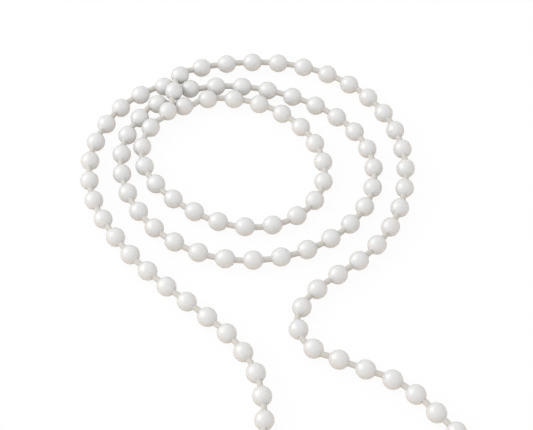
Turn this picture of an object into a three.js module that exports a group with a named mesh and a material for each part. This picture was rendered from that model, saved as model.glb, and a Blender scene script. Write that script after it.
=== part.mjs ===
// Beaded operating chain of a roller blind: round plastic beads moulded at an even pitch on one cord.
// A cut length lies on a flat surface: a tail comes in, three turns nest in each other, a tail goes out.
// Millimetres, +Z up. Z = 0 is the surface, and the origin is the middle of the outline on it.
import * as THREE from "three";
import { mergeVertices } from "three/addons/utils/BufferGeometryUtils.js";

// The chain itself
const PITCH = 6;
const BEAD_DIAMETER = 4.1;
const BEAD_LENGTH = 4.35;
const CORD_DIAMETER = 1.3;
const CUT_STUB = 1;

// Where one strand passes over another, the gap left between the two cords
const CROSSING_GAP = 0.1;

// Facets: sides round the chain, rows from one end of a bead to the other
const SIDES = 8;
const BEAD_ROWS = 7;

// The three nested turns. A ring is a little oval, with its long axis at the angle longAxis, and a
// little egg-shaped, with one of its three blunt points at the angle point. Angles are in degrees.
const OUTER_TURN = {
  centre: [-4.7, 23.4],
  radius: 34.95,
  oval: 0.1,
  longAxis: 151,
  egg: 0.6,
  point: 50,
};
const MIDDLE_TURN = {
  centre: [-5.7, 23.8],
  radius: 27.1,
  oval: 1.4,
  longAxis: -27,
  egg: 0.6,
  point: 10,
};
const INNER_TURN = {
  centre: [-8.2, 26.6],
  radius: 19.65,
  oval: 1.9,
  longAxis: -40,
  egg: 0.3,
  point: 54,
};

// The last strand leaves the inner turn in a straight line and passes over the other two strands
const INNER_CROSSING = { at: [-22.7, 43.9], underHeading: -7 };
const OUTER_CROSSING = { at: [-21.55, 49.55], underHeading: -7 };

// The stretch of each turn that follows its own ring, run clockwise, in degrees
const ARRIVING_ARC = { from: 203, to: 142, points: 5 };
const MIDDLE_ARC = { from: 106, to: -218, points: 22 };
const INNER_ARC = { from: 109, to: -203, points: 22 };
const LEAVING_ARC = { from: 109, to: -57, points: 14 };

// The two free tails, point by point: from the first cut end in, and out to the second cut end
const TAIL_IN = [
  [-2.6, -60.8],
  [-2.2, -54.2],
  [-1.4, -46],
  [-3, -33.5],
  [-7.8, -24.5],
  [-12.6, -19.1],
  [-23.7, -8.4],
  [-30.1, -1.1],
];
const TAIL_OUT = [
  [7, -14.3],
  [5.7, -22.2],
  [8.1, -26.1],
  [11, -28.7],
  [16.1, -30.3],
  [21.3, -33.4],
  [26.7, -35.8],
  [29.1, -38.5],
  [36.4, -47.4],
  [41.2, -54.8],
  [42.4, -61],
];

// Shares of the crossing lift at the beads of the upper strand: a long low hump over the two crossings
const HUMP_FOOT = 0.2;
const HUMP_SIDE = 0.77;
const HUMP_TOP = 1.15;
const SAMPLES_PER_SPAN = 24;

const WHITE_PLASTIC = new THREE.MeshStandardMaterial({
  color: 0xe9e9e7,
  roughness: 0.28,
  metalness: 0,
});

const restHeight = BEAD_DIAMETER / 2;
const crossingLift = CORD_DIAMETER + CROSSING_GAP;

function onSurface([x, y], liftShare = 0) {
  return new THREE.Vector3(x, y, restHeight + liftShare * crossingLift);
}

function arcPoints(turn, arc) {
  const points = [];
  for (let i = 0; i < arc.points; i += 1) {
    const degrees = THREE.MathUtils.lerp(arc.from, arc.to, i / (arc.points - 1));
    const angle = THREE.MathUtils.degToRad(degrees);
    const fromLongAxis = THREE.MathUtils.degToRad(degrees - turn.longAxis);
    const fromPoint = THREE.MathUtils.degToRad(degrees - turn.point);
    const radius =
      turn.radius + turn.oval * Math.cos(2 * fromLongAxis) + turn.egg * Math.cos(3 * fromPoint);
    points.push([
      turn.centre[0] + radius * Math.cos(angle),
      turn.centre[1] + radius * Math.sin(angle),
    ]);
  }
  return points;
}

// Two points a pitch apart with the crossing midway, so that a bare link lies on the crossing
function linkAcross([x, y], heading) {
  const reach = PITCH / 2;
  const dx = reach * Math.cos(heading);
  const dy = reach * Math.sin(heading);
  return [
    [x - dx, y - dy],
    [x + dx, y + dy],
  ];
}

// The chain's route, and the spans of it that lie on a crossing
function layRoute() {
  const [innerX, innerY] = INNER_CROSSING.at;
  const [outerX, outerY] = OUTER_CROSSING.at;
  const overHeading = Math.atan2(outerY - innerY, outerX - innerX);
  const underOuter = THREE.MathUtils.degToRad(OUTER_CROSSING.underHeading);
  const underInner = THREE.MathUtils.degToRad(INNER_CROSSING.underHeading);
  const [overStart] = linkAcross(INNER_CROSSING.at, overHeading);
  const [, overEnd] = linkAcross(OUTER_CROSSING.at, overHeading);
  const overMiddle = [(innerX + outerX) / 2, (innerY + outerY) / 2];
  const innerArc = arcPoints(INNER_TURN, INNER_ARC);
  const leavingArc = arcPoints(OUTER_TURN, LEAVING_ARC);

  const points = [];
  const crossingSpans = [];
  const lay = (list, liftShare) => points.push(...list.map((point) => onSurface(point, liftShare)));
  lay(TAIL_IN);
  lay(arcPoints(OUTER_TURN, ARRIVING_ARC));
  crossingSpans.push(points.length);
  lay(linkAcross(OUTER_CROSSING.at, underOuter));
  lay(arcPoints(MIDDLE_TURN, MIDDLE_ARC));
  crossingSpans.push(points.length);
  lay(linkAcross(INNER_CROSSING.at, underInner));
  lay(innerArc.slice(0, -1));
  lay(innerArc.slice(-1), HUMP_FOOT);
  crossingSpans.push(points.length, points.length + 1);
  lay([overStart], HUMP_SIDE);
  lay([overMiddle], HUMP_TOP);
  lay([overEnd], HUMP_SIDE);
  lay(leavingArc.slice(0, 1), HUMP_FOOT);
  lay(leavingArc.slice(1));
  lay(TAIL_OUT);

  const route = new THREE.CatmullRomCurve3(points, false, "centripetal");
  route.arcLengthDivisions = (points.length - 1) * SAMPLES_PER_SPAN;
  return { route, crossingSpans };
}

// Distances along the route at which the beads sit. A crossing always falls midway between two beads,
// and between two crossings a whole number of beads shares the length.
function beadStations(route, crossingSpans) {
  const lengths = route.getLengths();
  const total = lengths[lengths.length - 1];
  const crossings = crossingSpans.map((span) => lengths[(span + 0.5) * SAMPLES_PER_SPAN]);
  const endRoom = CUT_STUB + BEAD_LENGTH / 2;
  const stations = [];
  for (let s = crossings[0] - PITCH / 2; s > endRoom; s -= PITCH) {
    stations.unshift(s);
  }
  for (let i = 1; i < crossings.length; i += 1) {
    const stretch = crossings[i] - crossings[i - 1];
    const count = Math.max(1, Math.round(stretch / PITCH));
    for (let k = 0; k < count; k += 1) {
      stations.push(crossings[i - 1] + ((k + 0.5) * stretch) / count);
    }
  }
  for (let s = crossings[crossings.length - 1] + PITCH / 2; s < total - endRoom; s += PITCH) {
    stations.push(s);
  }
  return stations.map((s) => s / total);
}

// One frame for each bead: local Y along the cord, Z up, with the bead's middle on the route
function beadFrames(route, stations) {
  const centres = stations.map((u) => route.getPointAt(u));
  const up = new THREE.Vector3(0, 0, 1);
  return centres.map((centre, i) => {
    const before = centres[Math.max(i - 1, 0)];
    const after = centres[Math.min(i + 1, centres.length - 1)];
    const along = new THREE.Vector3().subVectors(after, before).normalize();
    const side = new THREE.Vector3().crossVectors(along, up).normalize();
    const top = new THREE.Vector3().crossVectors(side, along);
    return new THREE.Matrix4().makeBasis(side, along, top).setPosition(centre);
  });
}

// Half outline of one bead about its middle: an oval that ends where it has narrowed to the cord
function beadOutline() {
  const cordRadius = CORD_DIAMETER / 2;
  const beadRadius = BEAD_DIAMETER / 2;
  const last = Math.acos(cordRadius / beadRadius);
  const outline = [];
  for (let row = 0; row < BEAD_ROWS; row += 1) {
    const angle = THREE.MathUtils.lerp(-last, last, row / (BEAD_ROWS - 1));
    outline.push([beadRadius * Math.cos(angle), (BEAD_LENGTH / 2) * Math.sin(angle)]);
  }
  return outline;
}

// The chain pulled straight along Y, turned as one profile: cut cord end, beads and links, cut cord end
function straightChain(beadCount) {
  const cordRadius = CORD_DIAMETER / 2;
  const firstEnd = -BEAD_LENGTH / 2 - CUT_STUB;
  const lastEnd = (beadCount - 1) * PITCH - firstEnd;
  const bead = beadOutline();
  const profile = [new THREE.Vector2(0, firstEnd), new THREE.Vector2(cordRadius, firstEnd)];
  for (let k = 0; k < beadCount; k += 1) {
    for (const [radius, along] of bead) {
      profile.push(new THREE.Vector2(radius, k * PITCH + along));
    }
  }
  profile.push(new THREE.Vector2(cordRadius, lastEnd), new THREE.Vector2(0, lastEnd));
  return new THREE.LatheGeometry(profile, SIDES);
}

// Lays the straight chain along the route: each bead stays rigid, and the links between them bend
function layOnFrames(straight, frames) {
  const position = straight.getAttribute("position");
  const vertex = new THREE.Vector3();
  for (let i = 0; i < position.count; i += 1) {
    vertex.fromBufferAttribute(position, i);
    const nearest = Math.round(vertex.y / PITCH);
    const bead = THREE.MathUtils.clamp(nearest, 0, frames.length - 1);
    vertex.y -= bead * PITCH;
    vertex.applyMatrix4(frames[bead]);
    position.setXYZ(i, vertex.x, vertex.y, vertex.z);
  }
  straight.deleteAttribute("normal");
  straight.deleteAttribute("uv");
  const laid = mergeVertices(straight);
  laid.computeVertexNormals();
  return laid;
}

function buildChain() {
  const { route, crossingSpans } = layRoute();
  const stations = beadStations(route, crossingSpans);
  const frames = beadFrames(route, stations);
  const chain = new THREE.Mesh(layOnFrames(straightChain(frames.length), frames), WHITE_PLASTIC);
  chain.name = "bead_chain";
  return chain;
}

const blindChain = new THREE.Group();
blindChain.add(buildChain());

export default blindChain;
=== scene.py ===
"""A beaded blind chain that lies in three nested turns: its beads, its cord, and a plain white studio."""

import logging
import math
from collections.abc import Iterable, Sequence
from dataclasses import dataclass, field
from enum import Enum
from typing import Any, ClassVar

import bpy
from mathutils import Matrix, Vector


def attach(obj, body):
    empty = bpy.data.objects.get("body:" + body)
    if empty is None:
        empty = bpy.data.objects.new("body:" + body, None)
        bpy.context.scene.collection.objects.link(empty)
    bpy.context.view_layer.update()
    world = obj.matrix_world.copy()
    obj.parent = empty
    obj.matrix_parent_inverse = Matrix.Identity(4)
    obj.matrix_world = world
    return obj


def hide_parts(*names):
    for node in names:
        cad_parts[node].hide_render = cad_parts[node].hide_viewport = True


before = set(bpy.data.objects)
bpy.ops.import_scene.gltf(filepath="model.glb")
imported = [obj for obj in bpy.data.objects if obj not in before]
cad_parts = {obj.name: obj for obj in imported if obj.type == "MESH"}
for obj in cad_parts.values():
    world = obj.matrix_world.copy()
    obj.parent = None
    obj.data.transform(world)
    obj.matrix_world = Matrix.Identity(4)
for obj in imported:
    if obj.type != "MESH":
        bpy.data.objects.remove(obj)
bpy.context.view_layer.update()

MM = 0.001
CAD_NODE = "bead_chain"
ROOT_BODY = "root"

Point2 = tuple[float, float]
Colour = tuple[float, float, float]
SocketKey = str | int

PURE_WHITE: Colour = (1.0, 1.0, 1.0)
log = logging.getLogger("blind_chain")


class Hump(Enum):
    """Shares of the crossing lift at the beads of the strand that passes over the others."""

    FLAT = 0.0
    FOOT = 0.2
    SIDE = 0.77
    TOP = 1.15


@dataclass(frozen=True)
class Arc:
    """A stretch of a turn, run clockwise, in degrees."""

    start: float
    end: float
    points: int


@dataclass(frozen=True)
class Turn:
    """One ring of the coil, in millimetres and degrees.

    It is a little oval, with its long axis at long_axis, and a little egg-shaped, with one of its three
    blunt points at point.
    """

    centre: Point2
    radius: float
    oval: float
    long_axis: float
    egg: float
    point: float

    def along(self, arc: Arc) -> list[Point2]:
        """Points on the ring.

        Args:
            arc: the stretch of the ring that the chain follows.

        Returns:
            The points in order, in millimetres.
        """
        points = []
        for i in range(arc.points):
            degrees = arc.start + (arc.end - arc.start) * i / (arc.points - 1)
            angle = math.radians(degrees)
            oval = self.oval * math.cos(2 * math.radians(degrees - self.long_axis))
            radius = self.radius + oval + self.egg * math.cos(3 * math.radians(degrees - self.point))
            points.append(
                (
                    self.centre[0] + radius * math.cos(angle),
                    self.centre[1] + radius * math.sin(angle),
                )
            )
        return points


@dataclass(frozen=True)
class Crossing:
    """A place where one strand passes over another, and the heading of the lower one in degrees."""

    at: Point2
    under_heading: float


@dataclass(frozen=True)
class Seat:
    """Where one bead sits: its middle, the way the cord runs through it, and its upper side, in metres."""

    centre: Vector
    along: Vector
    top: Vector

    def point(self, along: float) -> Vector:
        """The point of the bead's axis at that signed distance from its middle."""
        return self.centre + self.along * along


@dataclass(frozen=True)
class ChainSizes:
    """The chain's own sizes, in millimetres."""

    pitch: float = 6.0
    bead_diameter: float = 4.1
    bead_length: float = 4.35
    cord_diameter: float = 1.3
    cut_stub: float = 1.0
    crossing_gap: float = 0.1

    @property
    def crossing_lift(self) -> float:
        """How far the upper cord's middle lies above the lower one's at a crossing."""
        return self.cord_diameter + self.crossing_gap


@dataclass(frozen=True)
class ChainRoute:
    """The way the chain lies, as the solid model has it, in millimetres.

    A tail comes in and runs onto the outer turn, dives under the last strand to the middle turn and again
    to the inner turn, and the last strand passes over both and leaves along the outer turn.
    """

    sizes: ChainSizes = ChainSizes()
    outer: Turn = Turn((-4.7, 23.4), 34.95, 0.1, 151.0, 0.6, 50.0)
    middle: Turn = Turn((-5.7, 23.8), 27.1, 1.4, -27.0, 0.6, 10.0)
    inner: Turn = Turn((-8.2, 26.6), 19.65, 1.9, -40.0, 0.3, 54.0)
    inner_crossing: Crossing = Crossing((-22.7, 43.9), -7.0)
    outer_crossing: Crossing = Crossing((-21.55, 49.55), -7.0)
    arriving: Arc = Arc(203.0, 142.0, 5)
    middle_arc: Arc = Arc(106.0, -218.0, 22)
    inner_arc: Arc = Arc(109.0, -203.0, 22)
    leaving: Arc = Arc(109.0, -57.0, 14)
    tail_in: tuple[Point2, ...] = (
        (-2.6, -60.8),
        (-2.2, -54.2),
        (-1.4, -46.0),
        (-3.0, -33.5),
        (-7.8, -24.5),
        (-12.6, -19.1),
        (-23.7, -8.4),
        (-30.1, -1.1),
    )
    tail_out: tuple[Point2, ...] = (
        (7.0, -14.3),
        (5.7, -22.2),
        (8.1, -26.1),
        (11.0, -28.7),
        (16.1, -30.3),
        (21.3, -33.4),
        (26.7, -35.8),
        (29.1, -38.5),
        (36.4, -47.4),
        (41.2, -54.8),
        (42.4, -61.0),
    )
    samples_per_span: int = 24

    def link_across(self, at: Point2, heading: float) -> list[Point2]:
        """Two points a pitch apart with the crossing midway.

        Args:
            at: the crossing.
            heading: the strand's heading there, in radians.

        Returns:
            The point before the crossing and the point after it.
        """
        reach = self.sizes.pitch / 2
        dx, dy = reach * math.cos(heading), reach * math.sin(heading)
        return [(at[0] - dx, at[1] - dy), (at[0] + dx, at[1] + dy)]

    def controls(self) -> tuple[list[Vector], list[int]]:
        """The points that the route passes through.

        Returns:
            The points in metres, and the index of each span that lies on a crossing.
        """
        points: list[Vector] = []
        spans: list[int] = []

        def lay(flat: Iterable[Point2], hump: Hump = Hump.FLAT) -> None:
            """Adds points at the height that the hump gives them."""
            height = self.sizes.bead_diameter / 2 + hump.value * self.sizes.crossing_lift
            points.extend(Vector((x, y, height)) * MM for x, y in flat)

        low, high = self.inner_crossing, self.outer_crossing
        over = math.atan2(high.at[1] - low.at[1], high.at[0] - low.at[0])
        inner, leaving = self.inner.along(self.inner_arc), self.outer.along(self.leaving)
        lay(self.tail_in)
        lay(self.outer.along(self.arriving))
        spans.append(len(points))
        lay(self.link_across(high.at, math.radians(high.under_heading)))
        lay(self.middle.along(self.middle_arc))
        spans.append(len(points))
        lay(self.link_across(low.at, math.radians(low.under_heading)))
        lay(inner[:-1])
        lay(inner[-1:], Hump.FOOT)
        spans.extend([len(points), len(points) + 1])
        lay(self.link_across(low.at, over)[:1], Hump.SIDE)
        lay([((low.at[0] + high.at[0]) / 2, (low.at[1] + high.at[1]) / 2)], Hump.TOP)
        lay(self.link_across(high.at, over)[1:], Hump.SIDE)
        lay(leaving[:1], Hump.FOOT)
        lay(leaving[1:])
        lay(self.tail_out)
        return points, spans

    def polyline(self, points: Sequence[Vector]) -> list[Vector]:
        """A smooth centripetal spline through points.

        Args:
            points: the points that it passes through.

        Returns:
            samples_per_span points for each span, and the last point.
        """
        padded = [2 * points[0] - points[1], *points, 2 * points[-1] - points[-2]]
        line: list[Vector] = []
        for before, start, end, after in zip(padded, padded[1:], padded[2:], padded[3:]):
            d0, d1, d2 = (
                math.sqrt((b - a).length) for a, b in ((before, start), (start, end), (end, after))
            )
            leave = ((start - before) / d0 - (end - before) / (d0 + d1) + (end - start) / d1) * d1
            arrive = ((end - start) / d1 - (after - start) / (d1 + d2) + (after - end) / d2) * d1
            for step in range(self.samples_per_span):
                line.append(hermite(start, end, leave, arrive, step / self.samples_per_span))
        line.append(points[-1].copy())
        return line

    def seats(self) -> list[Seat]:
        """Where every bead sits.

        A crossing always falls midway between two beads, and between two crossings a whole number of beads
        shares the length.

        Returns:
            The seats, from the first cut end to the last.
        """
        points, spans = self.controls()
        line = self.polyline(points)
        lengths = [0.0]
        for a, b in zip(line, line[1:]):
            lengths.append(lengths[-1] + (b - a).length)
        crossings = [lengths[int((span + 0.5) * self.samples_per_span)] for span in spans]
        pitch = self.sizes.pitch * MM
        room = (self.sizes.cut_stub + self.sizes.bead_length / 2) * MM
        first = crossings[0] - pitch / 2
        stations = [first - pitch * k for k in range(int((first - room) / pitch) + 1)][::-1]
        for a, b in zip(crossings, crossings[1:]):
            count = max(1, round((b - a) / pitch))
            stations.extend(a + (k + 0.5) * (b - a) / count for k in range(count))
        last = crossings[-1] + pitch / 2
        rest = lengths[-1] - room - last
        stations.extend(last + pitch * k for k in range(int(rest / pitch) + 1))
        centres = [point_at(line, lengths, s) for s in stations]
        return [
            self.seat(centre, centres[max(i - 1, 0)], centres[min(i + 1, len(centres) - 1)])
            for i, centre in enumerate(centres)
        ]

    @staticmethod
    def seat(centre: Vector, before: Vector, after: Vector) -> Seat:
        """A bead's seat, in line with the beads on both sides of it.

        Args:
            centre: the bead's middle.
            before: the middle of the bead before it, or its own at the first cut end.
            after: the middle of the bead after it, or its own at the last cut end.

        Returns:
            The seat.
        """
        along = (after - before).normalized()
        side = along.cross(Vector((0, 0, 1))).normalized()
        return Seat(centre, along, side.cross(along))


def hermite(start: Vector, end: Vector, leave: Vector, arrive: Vector, t: float) -> Vector:
    """A point of the cubic that has the given ends and end tangents.

    Args:
        start: the cubic's first point.
        end: its last point.
        leave: its tangent at the first point.
        arrive: its tangent at the last point.
        t: the place along it, from 0 to 1.

    Returns:
        The point.
    """
    square, cube = t * t, t * t * t
    return (
        start * (2 * cube - 3 * square + 1)
        + leave * (cube - 2 * square + t)
        + end * (3 * square - 2 * cube)
        + arrive * (cube - square)
    )


def point_at(line: Sequence[Vector], lengths: Sequence[float], distance: float) -> Vector:
    """The point of a polyline at a distance along it.

    Args:
        line: the polyline's points.
        lengths: the distance of each point along the line.
        distance: how far along the line the wanted point lies.

    Returns:
        The point.
    """
    low, high = 0, len(lengths) - 1
    while high - low > 1:
        middle = (low + high) // 2
        if lengths[middle] <= distance:
            low = middle
        else:
            high = middle
    share = (distance - lengths[low]) / (lengths[high] - lengths[low])
    return line[low].lerp(line[high], share)


@dataclass(frozen=True)
class Value:
    """A shader or geometry value, so that sums are written as Python expressions."""

    tree: bpy.types.NodeTree
    socket: bpy.types.NodeSocket | None

    def _math(self, operation: str, first: Any, second: Any) -> "Value":
        """Adds one Math node."""
        return Nodes(self.tree).add(
            "ShaderNodeMath", {"operation": operation}, {0: first, 1: second}
        )

    def __add__(self, other: Any) -> "Value":
        """Sum."""
        return self._math("ADD", self, other)

    def __radd__(self, other: Any) -> "Value":
        """Sum, reflected."""
        return self._math("ADD", other, self)

    def __mul__(self, other: Any) -> "Value":
        """Product."""
        return self._math("MULTIPLY", self, other)

    def __rmul__(self, other: Any) -> "Value":
        """Product, reflected."""
        return self._math("MULTIPLY", other, self)


@dataclass(frozen=True)
class Nodes:
    """Adds nodes to a tree."""

    tree: bpy.types.NodeTree

    def add(
        self,
        kind: str,
        settings: dict[str, Any] | None = None,
        inputs: dict[SocketKey, Any] | None = None,
        output: SocketKey = 0,
    ) -> Value:
        """Adds a node, sets it, and fills its sockets.

        Args:
            kind: the node's type.
            settings: the node's own properties, which are set first.
            inputs: the sockets' numbers, colours or links, by name or index.
            output: the output that is wanted, by name or index.

        Returns:
            The wanted output, or a value without a socket where the node has no outputs.
        """
        node = self.tree.nodes.new(kind)
        for name, value in (settings or {}).items():
            setattr(node, name, value)
        for key, value in (inputs or {}).items():
            if isinstance(value, Value):
                self.tree.links.new(value.socket, node.inputs[key])
            else:
                node.inputs[key].default_value = value
        return Value(self.tree, node.outputs[output] if node.outputs else None)

    def mix(self, factor: Any, first: Any, second: Any) -> Value:
        """Mixes two colours. The node's socket names repeat for each data type, so they go by index.

        Args:
            factor: the share of the second colour.
            first: the first colour or link.
            second: the second colour or link.

        Returns:
            The mixed colour.
        """
        return self.add(
            "ShaderNodeMix", {"data_type": "RGBA"}, {0: factor, 6: first, 7: second}, output=2
        )

    def looked_at(self) -> Value:
        """Tells what the camera sees, straight or through gloss or glass, from all other light.

        Returns:
            1 for what is looked at, and 0 for the rest.
        """
        rays = ("Is Camera Ray", "Is Glossy Ray", "Is Transmission Ray")
        camera, gloss, glass = (self.add("ShaderNodeLightPath", output=ray) for ray in rays)
        return camera + gloss + glass


def opaque(colour: Colour) -> tuple[float, float, float, float]:
    """A colour with full alpha."""
    return (*colour, 1.0)


def new_material(name: str) -> tuple[bpy.types.Material, Nodes]:
    """An empty node material.

    Args:
        name: the material's name.

    Returns:
        The material and the adder of its nodes.
    """
    material = bpy.data.materials.new(name)
    material.use_nodes = True
    material.node_tree.nodes.clear()
    return material, Nodes(material.node_tree)


@dataclass(frozen=True)
class BeadPlastic:
    """White moulded plastic with a soft gloss, each bead a trace lighter or warmer than the next.

    A thin clear skin takes up a little of the light, most of all where it is seen at a slant. Heights and
    depths are in metres.
    """

    name: str = "bead_plastic"
    cool_white: Colour = (0.885, 0.905, 0.925)
    warm_white: Colour = (0.885, 0.895, 0.90)
    tone_share: float = 0.7
    roughness: float = 0.22
    roughness_spread: float = 0.06
    ior: float = 1.65
    ripple_scale: float = 900.0
    ripple_detail: float = 3.0
    ripple_strength: float = 0.08
    ripple_height: float = 0.00002
    skin: Colour = (0.90, 0.885, 0.87)
    skin_ior: float = 1.1
    glow: float = 0.35
    glow_reach: Colour = (1.0, 0.9, 0.8)
    glow_depth: float = 0.0006

    def material(self) -> bpy.types.Material:
        """Makes the material, patterned on object coordinates and on each bead's own tone.

        Returns:
            The material.
        """
        material, nodes = new_material(self.name)
        place = nodes.add("ShaderNodeTexCoord", output="Object")
        tone = nodes.add("ShaderNodeAttribute", {"attribute_name": BeadString.TONE}, output="Fac")
        flow = nodes.add(
            "ShaderNodeTexNoise",
            {},
            {"Vector": place, "Scale": self.ripple_scale, "Detail": self.ripple_detail},
        )
        blend = tone * self.tone_share + flow * (1.0 - self.tone_share)
        colour = nodes.mix(blend, opaque(self.cool_white), opaque(self.warm_white))
        ripple = nodes.add(
            "ShaderNodeBump",
            {},
            {"Strength": self.ripple_strength, "Distance": self.ripple_height, "Height": flow},
        )
        smoothest = self.roughness - self.roughness_spread / 2
        surface = nodes.add(
            "ShaderNodeBsdfPrincipled",
            {},
            {
                "Base Color": colour,
                "Roughness": flow * self.roughness_spread + smoothest,
                "Normal": ripple,
                "IOR": self.ior,
                "Coat Weight": 1.0,
                "Coat Roughness": self.roughness,
                "Coat IOR": self.skin_ior,
                "Coat Tint": opaque(self.skin),
                "Subsurface Weight": self.glow,
                "Subsurface Radius": self.glow_reach,
                "Subsurface Scale": self.glow_depth,
            },
        )
        nodes.add("ShaderNodeOutputMaterial", {}, {"Surface": surface})
        return material


@dataclass(frozen=True)
class BraidedPolyester:
    """Warm off-white braided cord: matt, with painted shade that darkens the seams between the strands, and
    a faint sheen.

    Heights are in metres.
    """

    name: str = "polyester_cord"
    crown: Colour = (0.67, 0.645, 0.60)
    # painted shade: the colour where the braid lies low, between the strands
    painted_seam_shade: Colour = (0.585, 0.555, 0.515)
    seam_shade_share: float = 0.8
    roughness: float = 0.72
    fibre_scale: float = 6000.0
    fibre_detail: float = 2.0
    fuzz_strength: float = 0.35
    fuzz_height: float = 0.00004
    sheen: float = 0.25
    sheen_roughness: float = 0.5

    def material(self) -> bpy.types.Material:
        """Makes the material, patterned on object coordinates and on the height of the braid, which paints
        shade into the seams.

        Returns:
            The material.
        """
        material, nodes = new_material(self.name)
        place = nodes.add("ShaderNodeTexCoord", output="Object")
        height = nodes.add(
            "ShaderNodeAttribute", {"attribute_name": RunningCord.RELIEF}, output="Fac"
        )
        fibre = nodes.add(
            "ShaderNodeTexNoise",
            {},
            {"Vector": place, "Scale": self.fibre_scale, "Detail": self.fibre_detail},
        )
        # the braid's height paints shade into the seams, and the fibre noise is the cord's own tone
        blend = height * self.seam_shade_share + fibre * (1.0 - self.seam_shade_share)
        colour = nodes.mix(blend, opaque(self.painted_seam_shade), opaque(self.crown))
        fuzz = nodes.add(
            "ShaderNodeBump",
            {},
            {"Strength": self.fuzz_strength, "Distance": self.fuzz_height, "Height": fibre},
        )
        surface = nodes.add(
            "ShaderNodeBsdfPrincipled",
            {},
            {
                "Base Color": colour,
                "Roughness": self.roughness,
                "Normal": fuzz,
                "Sheen Weight": self.sheen,
                "Sheen Roughness": self.sheen_roughness,
            },
        )
        nodes.add("ShaderNodeOutputMaterial", {}, {"Surface": surface})
        return material


@dataclass(frozen=True)
class WhiteFloor:
    """A matt floor that looks white, with the object's shadow left on it, and gives a warm dim bounce."""

    name: str = "white_floor"
    white: Colour = (0.97, 0.97, 0.97)
    bounce: Colour = (0.87, 0.76, 0.655)
    shadow_share: float = 0.07

    def material(self) -> bpy.types.Material:
        """Makes the material: mostly plain white where it is looked at, and warm paint for other light.

        Returns:
            The material.
        """
        material, nodes = new_material(self.name)
        looked_at = nodes.looked_at()
        colour = nodes.mix(looked_at, opaque(self.bounce), opaque(self.white))
        paint = nodes.add("ShaderNodeBsdfDiffuse", {}, {"Color": colour})
        white = nodes.add("ShaderNodeEmission", {}, {"Color": opaque(PURE_WHITE), "Strength": 1.0})
        share = looked_at * (1.0 - self.shadow_share)
        surface = nodes.add("ShaderNodeMixShader", {}, {0: share, 1: paint, 2: white})
        nodes.add("ShaderNodeOutputMaterial", {}, {"Surface": surface})
        return material


def mesh_object(
    name: str, vertices: Sequence[Sequence[float]], faces: Sequence[Sequence[int]]
) -> bpy.types.Object:
    """A smooth mesh object at the origin, linked to the scene.

    Args:
        name: the object's and the mesh's name.
        vertices: the points, in metres.
        faces: the corners of each face, seen from outside in anticlockwise order.

    Returns:
        The object.
    """
    mesh = bpy.data.meshes.new(name)
    mesh.from_pydata([tuple(v) for v in vertices], [], faces)
    mesh.polygons.foreach_set("use_smooth", [True] * len(mesh.polygons))
    mesh.update()
    made = bpy.data.objects.new(name, mesh)
    bpy.context.scene.collection.objects.link(made)
    return made


def rings_to_faces(rings: int, sides: int) -> list[tuple[int, ...]]:
    """Quads between rings of points, with a flat cap at both ends.

    Args:
        rings: how many rings there are.
        sides: how many points each ring has.

    Returns:
        The corners of each face, facing outwards where the rings run clockwise about their own direction.
    """
    faces: list[tuple[int, ...]] = []
    for ring in range(rings - 1):
        for side in range(sides):
            a, b = ring * sides + side, ring * sides + (side + 1) % sides
            faces.append((a, b, b + sides, a + sides))
    faces.append(tuple(range(sides - 1, -1, -1)))
    faces.append(tuple(range((rings - 1) * sides, rings * sides)))
    return faces


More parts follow.
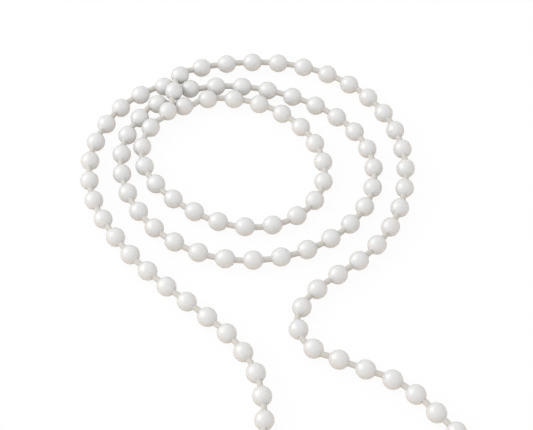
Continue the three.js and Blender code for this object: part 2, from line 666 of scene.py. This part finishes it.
@dataclass
class BeadString:
    """All the beads: one moulded bead, set on every seat along the cord.

    Radii, the lip's setback and its rounding are in millimetres, and the roll from bead to bead in degrees.
    """

    TONE: ClassVar[str] = "bead_tone"
    HEADING: ClassVar[str] = "bead_heading"

    seats: list[Seat]
    sizes: ChainSizes
    finish: BeadPlastic
    shoulder_radius: float = 0.86
    lip_radius: float = 0.68
    lip_setback: float = 0.05
    lip_round: float = 0.03
    body_rows: int = 18
    fillet_rows: int = 3
    sides: int = 30
    roll_per_bead: float = 3.0
    size_spread: float = 0.01
    seed: int = 7

    def outline(self) -> list[Point2]:
        """The bead's outline from one end to the other.

        A round body runs through a small hollow fillet into a thin lip that closes on the cord.

        Returns:
            The outline's points, each a radius and a distance along, in millimetres.
        """
        radius, stretch = self.sizes.bead_diameter / 2, self.sizes.bead_length / 2
        half = stretch - self.lip_setback
        last = math.acos(self.shoulder_radius / radius)
        shoulder = (self.shoulder_radius, stretch * math.sin(last))
        slope = stretch / radius / math.tan(last)
        bend = (self.lip_radius, shoulder[1] + (self.shoulder_radius - self.lip_radius) * slope)
        fillet = []
        for row in range(1, self.fillet_rows + 1):
            t = row / self.fillet_rows
            corner, hold, lip = (1 - t) ** 2, 2 * t * (1 - t), t * t
            fillet.append(
                (
                    corner * shoulder[0] + hold * bend[0] + lip * self.lip_radius,
                    corner * shoulder[1] + hold * bend[1] + lip * half,
                )
            )
        bore = self.sizes.cord_diameter / 2
        lip_end = [
            (bore + self.lip_round / 3, half + self.lip_round),
            (bore - self.lip_round, half + self.lip_round / 2),
            (bore - 3 * self.lip_round, half - 3 * self.lip_round),
        ]
        body = []
        for row in range(self.body_rows):
            angle = last * (2 * row / (self.body_rows - 1) - 1)
            body.append((radius * math.cos(angle), stretch * math.sin(angle)))
        end = fillet + lip_end
        return [(r, -y) for r, y in reversed(end)] + body + end

    def bead(self) -> bpy.types.Object:
        """Makes one bead about the origin, with the cord's way along Y.

        Returns:
            The bead's object.
        """
        outline = self.outline()
        vertices = []
        for radius, along in outline:
            for side in range(self.sides):
                angle = 2 * math.pi * side / self.sides
                vertices.append(
                    Vector((radius * math.cos(angle), along, -radius * math.sin(angle))) * MM
                )
        return mesh_object("bead", vertices, rings_to_faces(len(outline), self.sides))

    def seat_points(self) -> bpy.types.Object:
        """Makes one point for each seat, which carries the bead's heading as an angle about each axis.

        Returns:
            The object that holds the points.
        """
        points = mesh_object("beads", [seat.centre for seat in self.seats], [])
        headings = points.data.attributes.new(self.HEADING, "FLOAT_VECTOR", "POINT")
        for i, seat in enumerate(self.seats):
            side = seat.along.cross(seat.top)
            basis = Matrix((side, seat.along, seat.top)).transposed()
            roll = Matrix.Rotation(math.radians(self.roll_per_bead * i), 3, "Y")
            headings.data[i].vector = (basis @ roll).to_euler("XYZ")
        return points

    def tree(self) -> bpy.types.NodeTree:
        """Makes the node tree that sets a bead on every point, each with a tone and a size of its own.

        Returns:
            The tree.
        """
        tree = bpy.data.node_groups.new("string_beads", "GeometryNodeTree")
        for name, kind in (
            ("Geometry", "NodeSocketGeometry"),
            ("Bead", "NodeSocketObject"),
            ("Finish", "NodeSocketMaterial"),
            ("Size Spread", "NodeSocketFloat"),
            ("Seed", "NodeSocketInt"),
        ):
            tree.interface.new_socket(name, in_out="INPUT", socket_type=kind)
        tree.interface.new_socket("Geometry", in_out="OUTPUT", socket_type="NodeSocketGeometry")
        nodes = Nodes(tree)
        start = tree.nodes.new("NodeGroupInput")
        given = {socket.name: Value(tree, socket) for socket in start.outputs}
        heading = nodes.add(
            "GeometryNodeInputNamedAttribute", {"data_type": "FLOAT_VECTOR"}, {"Name": self.HEADING}
        )
        turned = nodes.add("FunctionNodeEulerToRotation", {}, {0: heading})
        bead = nodes.add(
            "GeometryNodeObjectInfo", {}, {"Object": given["Bead"], "As Instance": True}, "Geometry"
        )
        # A Random Value node's socket names repeat for each data type, so its numbers go by index
        size = nodes.add(
            "FunctionNodeRandomValue",
            {"data_type": "FLOAT"},
            {2: 1.0, 3: 1.0 + given["Size Spread"], "Seed": given["Seed"]},
            output=1,
        )
        strung = nodes.add(
            "GeometryNodeInstanceOnPoints",
            {},
            {"Points": given["Geometry"], "Instance": bead, "Rotation": turned, "Scale": size},
        )
        tone = nodes.add(
            "FunctionNodeRandomValue",
            {"data_type": "FLOAT"},
            {2: 0.0, 3: 1.0, "Seed": given["Seed"] + 1},
            output=1,
        )
        toned = nodes.add(
            "GeometryNodeStoreNamedAttribute",
            {"data_type": "FLOAT", "domain": "INSTANCE"},
            {"Geometry": strung, "Name": self.TONE, "Value": tone},
        )
        real = nodes.add("GeometryNodeRealizeInstances", {}, {"Geometry": toned})
        dressed = nodes.add(
            "GeometryNodeSetMaterial", {}, {"Geometry": real, "Material": given["Finish"]}
        )
        end = tree.nodes.new("NodeGroupOutput")
        tree.links.new(dressed.socket, end.inputs[0])
        return tree

    def build(self) -> bpy.types.Object:
        """Strings the beads as one plain mesh piece.

        Returns:
            The piece.
        """
        points, bead, tree = self.seat_points(), self.bead(), self.tree()
        modifier = points.modifiers.new("string_beads", "NODES")
        modifier.node_group = tree
        settings = {
            "Bead": bead,
            "Finish": self.finish.material(),
            "Size Spread": self.size_spread,
            "Seed": self.seed,
        }
        for socket in tree.interface.items_tree:
            if socket.in_out == "INPUT" and socket.name in settings:
                modifier[socket.identifier] = settings[socket.name]
        graph = bpy.context.evaluated_depsgraph_get()
        mesh = bpy.data.meshes.new_from_object(points.evaluated_get(graph), depsgraph=graph)
        points.modifiers.remove(modifier)
        points.data = mesh
        bpy.data.objects.remove(bead)
        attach(points, ROOT_BODY)
        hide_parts(CAD_NODE)
        return points


@dataclass
class RunningCord:
    """The braided cord that runs through all the beads and shows between them and at its two cut ends.

    The braid's length and relief, and the straight stretch on each side of a bead's middle, are in
    millimetres. The lower crown_power is, the flatter are the strands' crowns, and dip_share is how much
    lower they lie beside a crossing. The width of a cut end is a share of the cord's own.
    """

    RELIEF: ClassVar[str] = "braid_height"

    seats: list[Seat]
    sizes: ChainSizes
    finish: BraidedPolyester
    sides: int = 24
    rings_per_link: int = 16
    strands: int = 6
    braid_length: float = 1.5
    crown_power: float = 0.6
    dip_share: float = 0.25
    relief: float = 0.025
    straight_half: float = 1.3
    cut_end_width: float = 0.76
    path: list[Vector] = field(init=False, default_factory=list)

    def lay(self) -> list[Vector]:
        """Lays the cord straight through each bead, and in a smooth bend from bead to bead.

        Returns:
            The points of its middle line, from the first cut end to the last, in metres.
        """
        path = []
        hold = self.straight_half * MM
        tip = (self.sizes.bead_length / 2 + self.sizes.cut_stub) * MM
        stub_steps = self.rings_per_link // 2
        first, last = self.seats[0], self.seats[-1]
        for step in range(stub_steps):
            path.append(first.point(-tip + (tip - hold) * step / stub_steps))
        for seat, after in zip(self.seats, self.seats[1:]):
            path.append(seat.point(-hold))
            start, end = seat.point(hold), after.point(-hold)
            reach = (end - start).length
            for step in range(self.rings_per_link):
                share = step / self.rings_per_link
                path.append(hermite(start, end, seat.along * reach, after.along * reach, share))
        path.append(last.point(-hold))
        for step in range(stub_steps + 1):
            path.append(last.point(hold + (tip - hold) * step / stub_steps))
        return path

    def weave(self, around: float, along: float) -> float:
        """The braid's height, from 0 deep between the strands to 1 on a crown.

        Args:
            around: the place round the cord, from 0 to 1.
            along: the place along the cord, in millimetres.

        Returns:
            The height of whichever of the two crossing strands lies on top there.
        """
        left = around * self.strands + along / self.braid_length * 2
        right = around * self.strands - along / self.braid_length * 2
        left_on_top = (math.floor(left) + math.floor(right)) % 2 == 0
        upper, lower = (left, right) if left_on_top else (right, left)
        crown = abs(math.sin(math.pi * upper)) ** self.crown_power
        dip = 1.0 - self.dip_share + self.dip_share * abs(math.sin(math.pi * lower))
        return crown * dip

    def build(self) -> bpy.types.Object:
        """Lays the cord and sweeps its braided section along the path.

        Returns:
            The piece.
        """
        self.path = self.lay()
        radius = self.sizes.cord_diameter / 2
        vertices, heights = [], []
        along = 0.0
        side = self.seats[0].along.cross(self.seats[0].top)
        last = len(self.path) - 1
        for i, centre in enumerate(self.path):
            before, after = self.path[max(i - 1, 0)], self.path[min(i + 1, last)]
            heading = (after - before).normalized()
            along += (centre - before).length / MM
            side = (side - heading * side.dot(heading)).normalized()
            top = side.cross(heading)
            width = self.cut_end_width if i in (0, last) else 1.0
            for k in range(self.sides):
                angle = 2 * math.pi * k / self.sides
                height = self.weave(k / self.sides, along)
                reach = (radius - self.relief * (1 - height)) * width * MM
                vertices.append(
                    centre + side * (reach * math.cos(angle)) - top * (reach * math.sin(angle))
                )
                heights.append(height)
        made = mesh_object("cord", vertices, rings_to_faces(len(self.path), self.sides))
        # the braid's height is kept for the cord's finish, which paints shade into the seams with it
        made.data.attributes.new(self.RELIEF, "FLOAT", "POINT").data.foreach_set("value", heights)
        made.data.materials.append(self.finish.material())
        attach(made, ROOT_BODY)
        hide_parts(CAD_NODE)
        return made

    def declare(self) -> None:
        """Adds up the length of the cord's middle line; nothing uses the sum.
        """
        length = sum((b - a).length for a, b in zip(self.path, self.path[1:]))


@dataclass(frozen=True)
class SoftLamp:
    """A square lamp that faces the chain: where it hangs, its size in metres and its power in watts.

    A gloss lamp shows only as a reflection, and adds no light to matt surfaces.
    """

    name: str
    size: float
    power: float
    colour: Colour
    toward: tuple[float, float, float] = (-0.785, 0.135, 0.605)
    distance: float = 0.8
    gloss_only: bool = False

    def hang(self) -> None:
        """Hangs the lamp."""
        light = bpy.data.lights.new(self.name, "AREA")
        light.shape = "SQUARE"
        light.size = self.size
        light.energy = self.power
        light.color = self.colour
        made = bpy.data.objects.new(self.name, light)
        made.location = Vector(self.toward).normalized() * self.distance
        made.rotation_euler = (-made.location).to_track_quat("-Z", "Y").to_euler()
        made.visible_diffuse = not self.gloss_only
        bpy.context.scene.collection.objects.link(made)


@dataclass
class Studio:
    """The white floor, the soft lamps and the camera.

    The floor and the near clip are in metres, the camera's place, lens and sensor in millimetres, and the
    angle at which it looks down in degrees.
    """

    floor: WhiteFloor
    key: SoftLamp = SoftLamp("key", 0.55, 2.4, (0.95, 0.975, 1.0))
    panel: SoftLamp = SoftLamp("panel", 0.85, 2.8, PURE_WHITE, gloss_only=True)
    room_strength: float = 0.835
    floor_half: float = 3.0
    camera_foot: Point2 = (-1.0, -290.9)
    camera_height: float = 334.8
    look_down: float = 47.86
    lens: float = 139.8
    sensor: float = 36.0
    near_clip: float = 0.01

    def lay_floor(self) -> None:
        """Lays the floor under the chain."""
        half = self.floor_half
        corners = [(-half, -half, 0.0), (half, -half, 0.0), (half, half, 0.0), (-half, half, 0.0)]
        made = mesh_object("floor", corners, [(0, 1, 2, 3)])
        made.data.materials.append(self.floor.material())

    def light(self) -> None:
        """Hangs the lamps and sets the even light of the room."""
        self.key.hang()
        self.panel.hang()
        world = bpy.data.worlds.new("even_white")
        bpy.context.scene.world = world
        world.use_nodes = True
        world.node_tree.nodes.clear()
        nodes = Nodes(world.node_tree)
        room, white = (
            nodes.add("ShaderNodeBackground", {}, {"Color": opaque(PURE_WHITE), "Strength": strength})
            for strength in (self.room_strength, 1.0)
        )
        sky = nodes.add("ShaderNodeMixShader", {}, {0: nodes.looked_at(), 1: room, 2: white})
        nodes.add("ShaderNodeOutputWorld", {}, {"Surface": sky})

    def camera(self) -> None:
        """Stands the camera where the photograph was taken from."""
        lens = bpy.data.cameras.new("camera")
        lens.sensor_width = self.sensor
        lens.lens = self.lens
        lens.clip_start = self.near_clip
        made = bpy.data.objects.new("camera", lens)
        made.location = Vector((*self.camera_foot, self.camera_height)) * MM
        made.rotation_euler = (math.radians(90.0 - self.look_down), 0.0, 0.0)
        bpy.context.scene.collection.objects.link(made)
        bpy.context.scene.camera = made


def main() -> None:
    """Builds the studio and the chain in order and reports each piece."""
    logging.basicConfig(level=logging.INFO, format="%(message)s")
    bpy.context.scene.view_settings.view_transform = "Standard"
    studio = Studio(WhiteFloor())
    studio.camera()
    route = ChainRoute()
    seats = route.seats()
    log.info("route: %d beads", len(seats))
    cord = RunningCord(seats, route.sizes, BraidedPolyester())
    cord_piece = cord.build()
    log.info("cord: %d faces", len(cord_piece.data.polygons))
    beads = BeadString(seats, route.sizes, BeadPlastic()).build()
    log.info("beads: %d faces", len(beads.data.polygons))
    cord.declare()
    studio.lay_floor()
    studio.light()
    log.info("studio: floor, lamps and camera")


if __name__ == "__main__":
    main()
